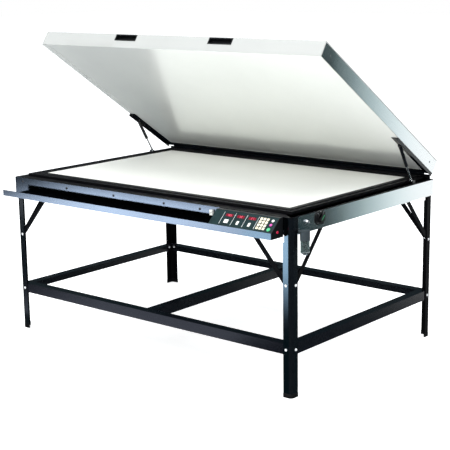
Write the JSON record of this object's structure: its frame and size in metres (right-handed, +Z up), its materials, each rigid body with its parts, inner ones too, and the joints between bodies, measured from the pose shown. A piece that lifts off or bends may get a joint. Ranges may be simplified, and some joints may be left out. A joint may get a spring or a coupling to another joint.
{
  "type": "hot vacuum press",
  "caption": "Heated vacuum press for mounting and transfer work: flat bed on a bolted floor stand, hinged heated lid held open by gas struts, front trough with a sloping control console.",
  "frame": {"origin": "middle of the machine's footprint with the lid open, on the floor", "axes": "+Z up, -Y towards the operator at the trough and console, +X to the operator's right"},
  "size_m": [2.005, 1.4248, 1.6826],
  "materials": {
    "black_enamel": "glossy black enamel",
    "rail_enamel": "semi-gloss black enamel",
    "side_metal": "satin silver-grey enamel",
    "lid_enamel": "smooth white enamel",
    "platen_coat": "smooth off-white non-stick coating",
    "bed_laminate": "warm white satin laminate",
    "zinc": "bright zinc plate",
    "gasket_rubber": "matt black silicone",
    "foot_plastic": "matt dark grey plastic",
    "console_plastic": "satin black plastic",
    "fascia_film": "dark green-black printed film",
    "display_red": "red display filter",
    "key_cream": "cream silicone",
    "key_white": "white plastic",
    "key_magenta": "magenta plastic",
    "key_green": "green plastic",
    "board_green": "circuit board",
    "lamp_red": "red lens",
    "switch_black": "black plastic",
    "filter_alloy": "cast alloy",
    "bowl_clear": "smoky clear bowl",
    "pump_cast": "dark grey cast housing",
    "hose_black": "black hose",
    "heater_orange": "silicone heater mat",
    "insulation": "glass-wool batt",
    "rod_chrome": "polished chrome rod"
  },
  "bodies": {
    "table": {"leg_front_left": "black_enamel", "leg_front_right": "black_enamel", "leg_rear_left": "black_enamel", "leg_rear_right": "black_enamel", "leg_feet": "foot_plastic", "rail_front": "rail_enamel", "rail_rear": "rail_enamel", "rail_left": "rail_enamel", "rail_right": "rail_enamel", "rail_cross": "rail_enamel", "leg_braces": "black_enamel", "stand_bolts": "zinc", "side_panel_left": "side_metal", "side_panel_right": "side_metal", "rear_panel": "black_enamel", "front_panel": "black_enamel", "bottom_pan": "rail_enamel", "table_ledge": "black_enamel", "bed_beams": "zinc", "bed_board": "bed_laminate", "seal_frame": "black_enamel", "lid_gasket": "gasket_rubber", "trough": "black_enamel", "trough_screws": "zinc", "service_socket": "key_white", "console_housing": "console_plastic", "console_end_plate": "console_plastic", "console_fascia": "fascia_film", "display_modules": "display_red", "keypad_mat": "key_cream", "control_board": "board_green", "pilot_lamp": "lamp_red", "switch_plate": "switch_black", "vacuum_port": "zinc", "filter_head": "filter_alloy", "vacuum_pump": "pump_cast", "pump_hose": "hose_black", "hinge_base_leaves": "zinc", "hinge_pins": "zinc", "strut_feet": "black_enamel"},
    "lid": {"hinge_lid_leaves": "zinc", "lid_shell": "lid_enamel", "heated_platen": "platen_coat", "heater_mat": "heater_orange", "lid_insulation": "insulation", "pull_cups": "console_plastic", "lid_edge_angles": "black_enamel"},
    "strut_cylinder_left": {"strut_cylinder_left": "black_enamel"},
    "strut_cylinder_right": {"strut_cylinder_right": "black_enamel"},
    "strut_rod_left": {"strut_rod_left": "rod_chrome"},
    "strut_rod_right": {"strut_rod_right": "rod_chrome"},
    "switch_knob": {"switch_knob": "switch_black"},
    "filter_bowl": {"filter_bowl": "bowl_clear"},
    "filter_drain": {"filter_drain": "zinc"},
    "rocker_temperature": {"rocker_temperature": "key_white"},
    "rocker_time": {"rocker_time": "key_white"},
    "rocker_vacuum": {"rocker_vacuum": "key_white"},
    "button_select": {"button_select": "key_white"},
    "button_stop": {"button_stop": "key_magenta"},
    "button_start": {"button_start": "key_green"}
  },
  "joints": [
    {"name": "lid_hinge", "type": "hinge", "parent": "table", "child": "lid", "pos_m": [-0.0255, 0.67063, 0.908], "axis": [1, 0, 0], "range_deg": [0, 33.8]},
    {"name": "strut_turn_left", "type": "hinge", "parent": "lid", "child": "strut_cylinder_left", "pos_m": [-0.9715, 0.35981, 1.10163], "axis": [1, 0, 0], "range_deg": [-1, 26.35]},
    {"name": "strut_slide_left", "type": "slide", "parent": "strut_cylinder_left", "child": "strut_rod_left", "axis": [0, 0.5128, -0.8585], "range_m": [-0.06252, 0.001]},
    {"name": "strut_turn_right", "type": "hinge", "parent": "lid", "child": "strut_cylinder_right", "pos_m": [0.9205, 0.35981, 1.10163], "axis": [1, 0, 0], "range_deg": [-1, 26.35]},
    {"name": "strut_slide_right", "type": "slide", "parent": "strut_cylinder_right", "child": "strut_rod_right", "axis": [0, 0.5128, -0.8585], "range_m": [-0.06252, 0.001]},
    {"name": "switch_turn", "type": "hinge", "parent": "table", "child": "switch_knob", "pos_m": [0.9487, -0.39437, 0.851], "axis": [1, 0, 0], "range_deg": [0, 90]},
    {"name": "bowl_unscrew", "type": "hinge", "parent": "table", "child": "filter_bowl", "pos_m": [0.9785, -0.55437, 0.75], "axis": [0, 0, 1], "range_deg": [0, 60]},
    {"name": "drain_turn", "type": "hinge", "parent": "filter_bowl", "child": "filter_drain", "pos_m": [0.9785, -0.55437, 0.7], "axis": [0, 0, 1], "range_deg": [0, 90]},
    {"name": "rocker_temperature_tip", "type": "hinge", "parent": "table", "child": "rocker_temperature", "pos_m": [0.6105, -0.68466, 0.83717], "axis": [1, 0, 0], "range_deg": [-4, 4], "stiffness_Nm_per_rad": 0.6},
    {"name": "rocker_time_tip", "type": "hinge", "parent": "table", "child": "rocker_time", "pos_m": [0.6805, -0.68466, 0.83717], "axis": [1, 0, 0], "range_deg": [-4, 4], "stiffness_Nm_per_rad": 0.6},
    {"name": "rocker_vacuum_tip", "type": "hinge", "parent": "table", "child": "rocker_vacuum", "pos_m": [0.7505, -0.68466, 0.83717], "axis": [1, 0, 0], "range_deg": [-4, 4], "stiffness_Nm_per_rad": 0.6},
    {"name": "button_select_press", "type": "slide", "parent": "table", "child": "button_select", "axis": [0, 0.6819, -0.7314], "range_m": [0, 0.0012], "stiffness_N_per_m": 800, "springref_m": -0.0005},
    {"name": "button_stop_press", "type": "slide", "parent": "table", "child": "button_stop", "axis": [0, 0.6819, -0.7314], "range_m": [0, 0.0012], "stiffness_N_per_m": 800, "springref_m": -0.0005},
    {"name": "button_start_press", "type": "slide", "parent": "table", "child": "button_start", "axis": [0, 0.6819, -0.7314], "range_m": [0, 0.0012], "stiffness_N_per_m": 800, "springref_m": -0.0005}
  ],
  "couplings": [
    {"joint": "strut_turn_left", "follows": "lid_hinge", "ratio": 0.75005},
    {"joint": "strut_slide_left", "follows": "lid_hinge", "m_per_rad": -0.10428},
    {"joint": "strut_turn_right", "follows": "lid_hinge", "ratio": 0.75005},
    {"joint": "strut_slide_right", "follows": "lid_hinge", "m_per_rad": -0.10428}
  ]
}
